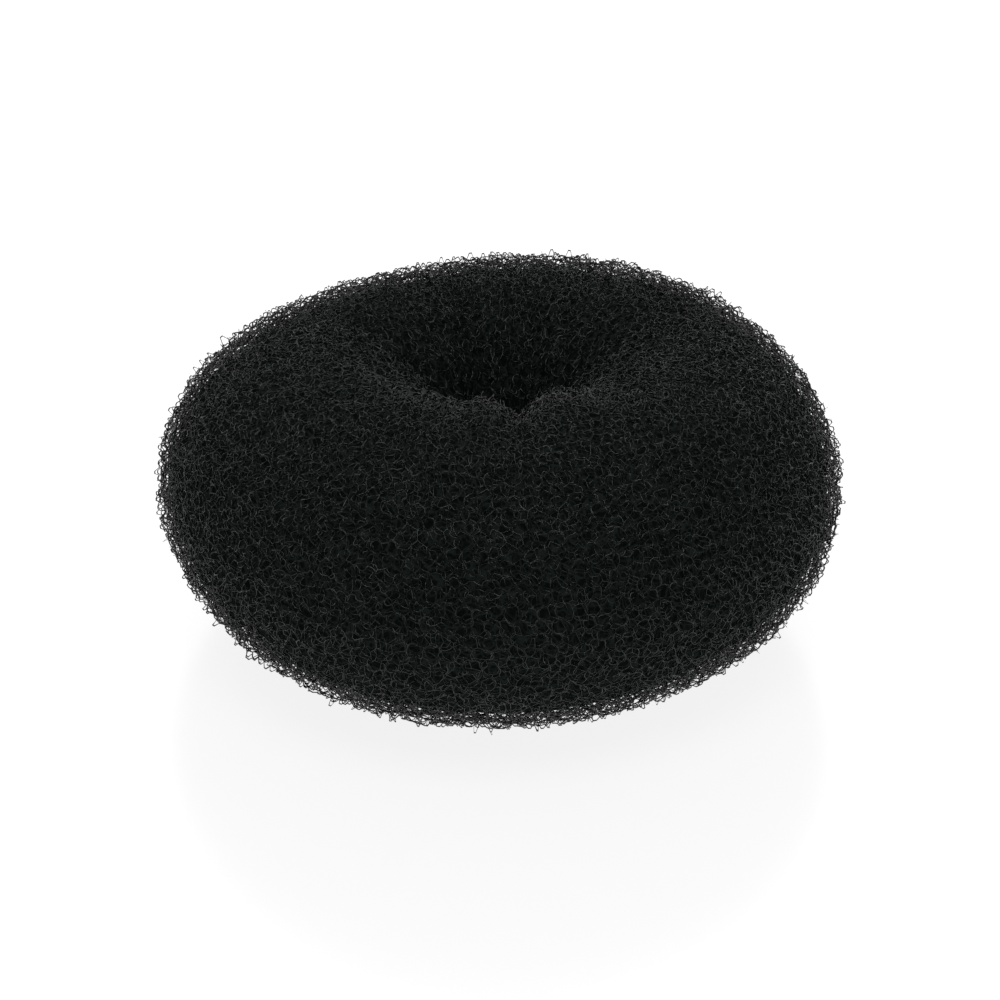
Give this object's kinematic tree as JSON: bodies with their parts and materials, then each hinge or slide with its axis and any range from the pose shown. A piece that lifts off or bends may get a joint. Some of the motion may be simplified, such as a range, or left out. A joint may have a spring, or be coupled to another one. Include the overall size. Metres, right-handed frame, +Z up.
{
  "type": "hair donut bun maker",
  "caption": "Soft springy ring of rolled black net, gathered in at its hole: a ponytail is drawn through it and spread over it to make a bun.",
  "frame": {"origin": "middle of the ring's outline, on the surface that it rests on", "axes": "+Z up through the hole, +X to the right and -Y towards the viewer in the picture"},
  "size_m": [0.089, 0.0918, 0.0412],
  "materials": {
    "nylon_net": "open net knitted from black nylon monofilament, rolled up in many layers, with a slight gloss on its strands"
  },
  "bodies": {
    "root": {"rolled_net": "nylon_net"}
  },
  "joints": []
}
